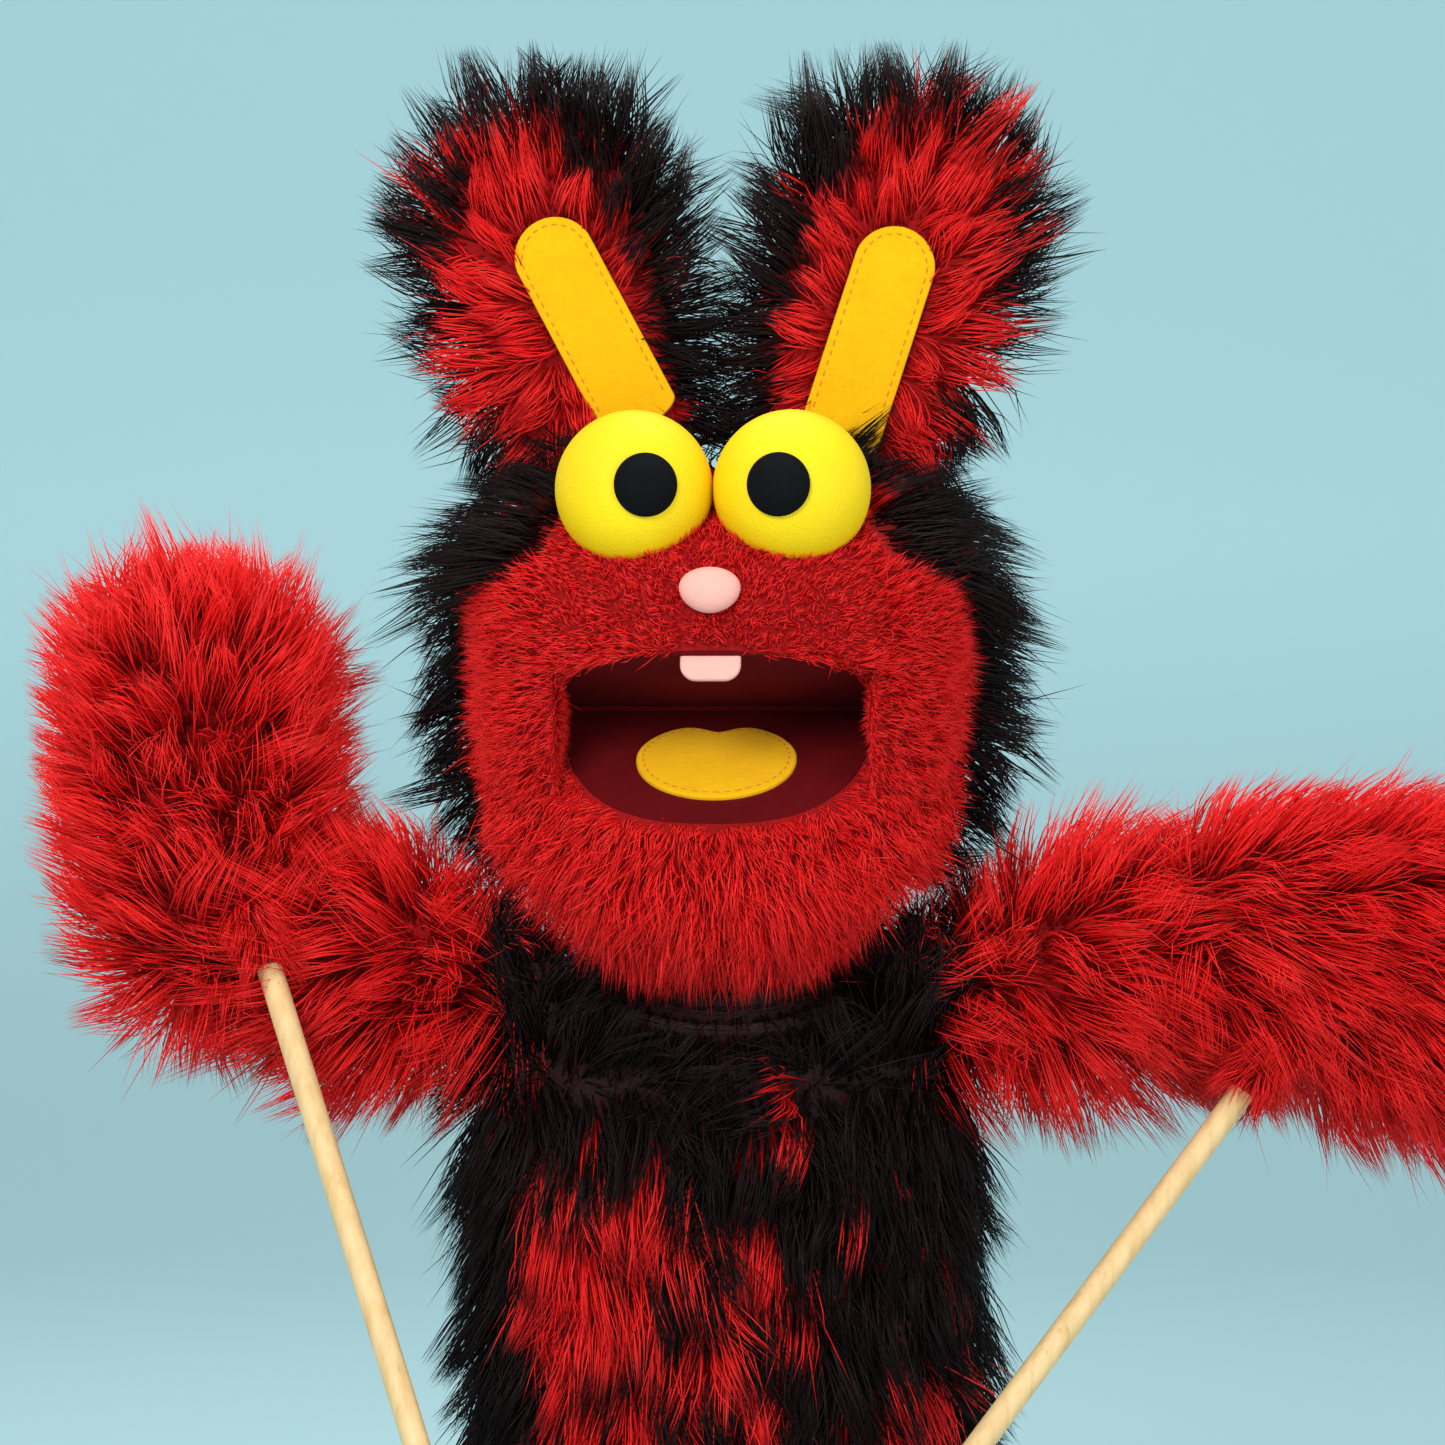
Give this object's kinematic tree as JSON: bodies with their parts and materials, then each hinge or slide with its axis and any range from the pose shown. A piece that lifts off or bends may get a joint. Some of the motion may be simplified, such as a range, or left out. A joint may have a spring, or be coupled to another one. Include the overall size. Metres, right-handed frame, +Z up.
{
  "type": "moving mouth puppet",
  "caption": "Shaggy red and black hand-and-rod puppet with an opening mouth, ball eyes, upright ears and rod-worked furry arms.",
  "frame": {"origin": "centre of the hand opening, in the plane of the sleeve's hem", "axes": "+Z up along the sleeve, -Y the way the puppet faces, +X to the viewer's right"},
  "size_m": [0.4552, 0.2187, 0.5632],
  "materials": {
    "red_fur": "long-pile red fur",
    "black_fur": "long-pile black fur",
    "lining_cloth": "plain woven dark red cloth",
    "foam": "open-cell foam",
    "stuffing": "polyester stuffing",
    "mouth_felt": "dark red felt",
    "yellow_felt": "yellow wool felt",
    "pink_felt": "pink felt",
    "black_felt": "black felt",
    "eye_foam": "smooth yellow foam ball",
    "mouth_board": "stiff matt board",
    "rod_wood": "bare sanded dowel"
  },
  "bodies": {
    "sleeve": {"body_fur_front": "red_fur", "body_fur_back": "black_fur", "body_lining": "lining_cloth", "hem_binding": "lining_cloth", "chest_foam": "foam"},
    "neck_lower": {"neck_lower_foam": "foam", "neck_lower_fur": "black_fur"},
    "neck_upper": {"neck_upper_foam": "foam", "neck_upper_fur": "black_fur"},
    "head": {"skull_foam": "foam", "wrist_collar": "foam", "face_fur": "red_fur", "head_fur_back": "black_fur", "finger_pocket": "lining_cloth", "upper_mouth_plate": "mouth_board", "upper_mouth_lining": "mouth_felt", "mouth_hinge_tape": "mouth_felt", "tooth": "pink_felt", "nose": "pink_felt", "left_eye_ball": "eye_foam", "right_eye_ball": "eye_foam", "left_pupil": "black_felt", "right_pupil": "black_felt"},
    "jaw": {"jaw_foam": "foam", "chin_fur": "red_fur", "lower_mouth_plate": "mouth_board", "lower_mouth_lining": "mouth_felt", "tongue": "yellow_felt", "thumb_pocket": "lining_cloth"},
    "left_ear": {"left_ear_core": "foam", "left_ear_fur_front": "red_fur", "left_ear_fur_back": "black_fur", "left_ear_inner": "yellow_felt"},
    "right_ear": {"right_ear_core": "foam", "right_ear_fur_front": "red_fur", "right_ear_fur_back": "black_fur", "right_ear_inner": "yellow_felt"},
    "left_shoulder": {"left_shoulder_gusset": "red_fur"},
    "left_upper_arm": {"left_arm_fur": "red_fur", "left_arm_stuffing": "stuffing"},
    "left_paw": {"left_paw_fur": "red_fur", "left_paw_stuffing": "stuffing"},
    "left_rod_tab": {"left_rod_tab": "lining_cloth"},
    "left_rod": {"left_rod": "rod_wood", "left_rod_sock": "red_fur"},
    "right_shoulder": {"right_shoulder_gusset": "red_fur"},
    "right_upper_arm": {"right_arm_fur": "red_fur", "right_arm_stuffing": "stuffing"},
    "right_paw": {"right_paw_fur": "red_fur", "right_paw_stuffing": "stuffing"},
    "right_rod_tab": {"right_rod_tab": "lining_cloth"},
    "right_rod": {"right_rod": "rod_wood", "right_rod_sock": "red_fur"}
  },
  "joints": [
    {"name": "neck_turn", "type": "hinge", "parent": "sleeve", "child": "neck_lower", "pos_m": [0, 0, 0.3], "axis": [0, 0, 1], "range_deg": [-25, 25]},
    {"name": "neck_tilt", "type": "hinge", "parent": "neck_lower", "child": "neck_upper", "pos_m": [0, 0, 0.3], "axis": [0.0523, 0.9986, 0], "range_deg": [-10, 10]},
    {"name": "head_nod", "type": "hinge", "parent": "neck_upper", "child": "head", "pos_m": [0, 0, 0.3], "axis": [0.9986, -0.0523, 0], "range_deg": [-12, 12]},
    {"name": "jaw_open", "type": "hinge", "parent": "head", "child": "jaw", "pos_m": [-0.00052, -0.00999, 0.378], "axis": [0.9986, -0.0523, 0], "range_deg": [-39, 10]},
    {"name": "left_ear_flop", "type": "hinge", "parent": "head", "child": "left_ear", "pos_m": [-0.03616, -0.00211, 0.458], "axis": [0.9599, -0.0503, 0.2756], "range_deg": [-40, 20]},
    {"name": "right_ear_flop", "type": "hinge", "parent": "head", "child": "right_ear", "pos_m": [0.03574, -0.00588, 0.458], "axis": [0.9599, -0.0503, -0.2756], "range_deg": [-40, 20]},
    {"name": "left_shoulder_swing", "type": "hinge", "parent": "sleeve", "child": "left_shoulder", "pos_m": [-0.073, 0, 0.286], "axis": [0, 0, 1], "range_deg": [-20, 20]},
    {"name": "left_shoulder_raise", "type": "hinge", "parent": "left_shoulder", "child": "left_upper_arm", "pos_m": [-0.073, 0, 0.286], "axis": [0, 1, 0], "range_deg": [-28, 8]},
    {"name": "left_elbow_bend", "type": "hinge", "parent": "left_upper_arm", "child": "left_paw", "pos_m": [-0.16385, 0, 0.31378], "axis": [0, 1, 0], "range_deg": [-45, 5]},
    {"name": "left_rod_swing", "type": "hinge", "parent": "left_paw", "child": "left_rod_tab", "pos_m": [-0.15035, -0.0285, 0.32377], "axis": [0, 1, 0], "range_deg": [-20, 20]},
    {"name": "left_rod_pitch", "type": "hinge", "parent": "left_rod_tab", "child": "left_rod", "pos_m": [-0.15035, -0.0285, 0.32377], "axis": [-0.9397, 0, -0.342], "range_deg": [-6, 30]},
    {"name": "right_shoulder_swing", "type": "hinge", "parent": "sleeve", "child": "right_shoulder", "pos_m": [0.073, 0, 0.286], "axis": [0, 0, -1], "range_deg": [-20, 20]},
    {"name": "right_shoulder_raise", "type": "hinge", "parent": "right_shoulder", "child": "right_upper_arm", "pos_m": [0.073, 0, 0.286], "axis": [0, -1, 0], "range_deg": [-28, 8]},
    {"name": "right_elbow_bend", "type": "hinge", "parent": "right_upper_arm", "child": "right_paw", "pos_m": [0.16592, 0, 0.30575], "axis": [0, -1, 0], "range_deg": [-5, 75]},
    {"name": "right_rod_swing", "type": "hinge", "parent": "right_paw", "child": "right_rod_tab", "pos_m": [0.18092, -0.025, 0.28075], "axis": [0, -1, 0], "range_deg": [-12, 20]},
    {"name": "right_rod_pitch", "type": "hinge", "parent": "right_rod_tab", "child": "right_rod", "pos_m": [0.18092, -0.025, 0.28075], "axis": [-0.7771, 0, 0.6293], "range_deg": [-6, 30]}
  ]
}
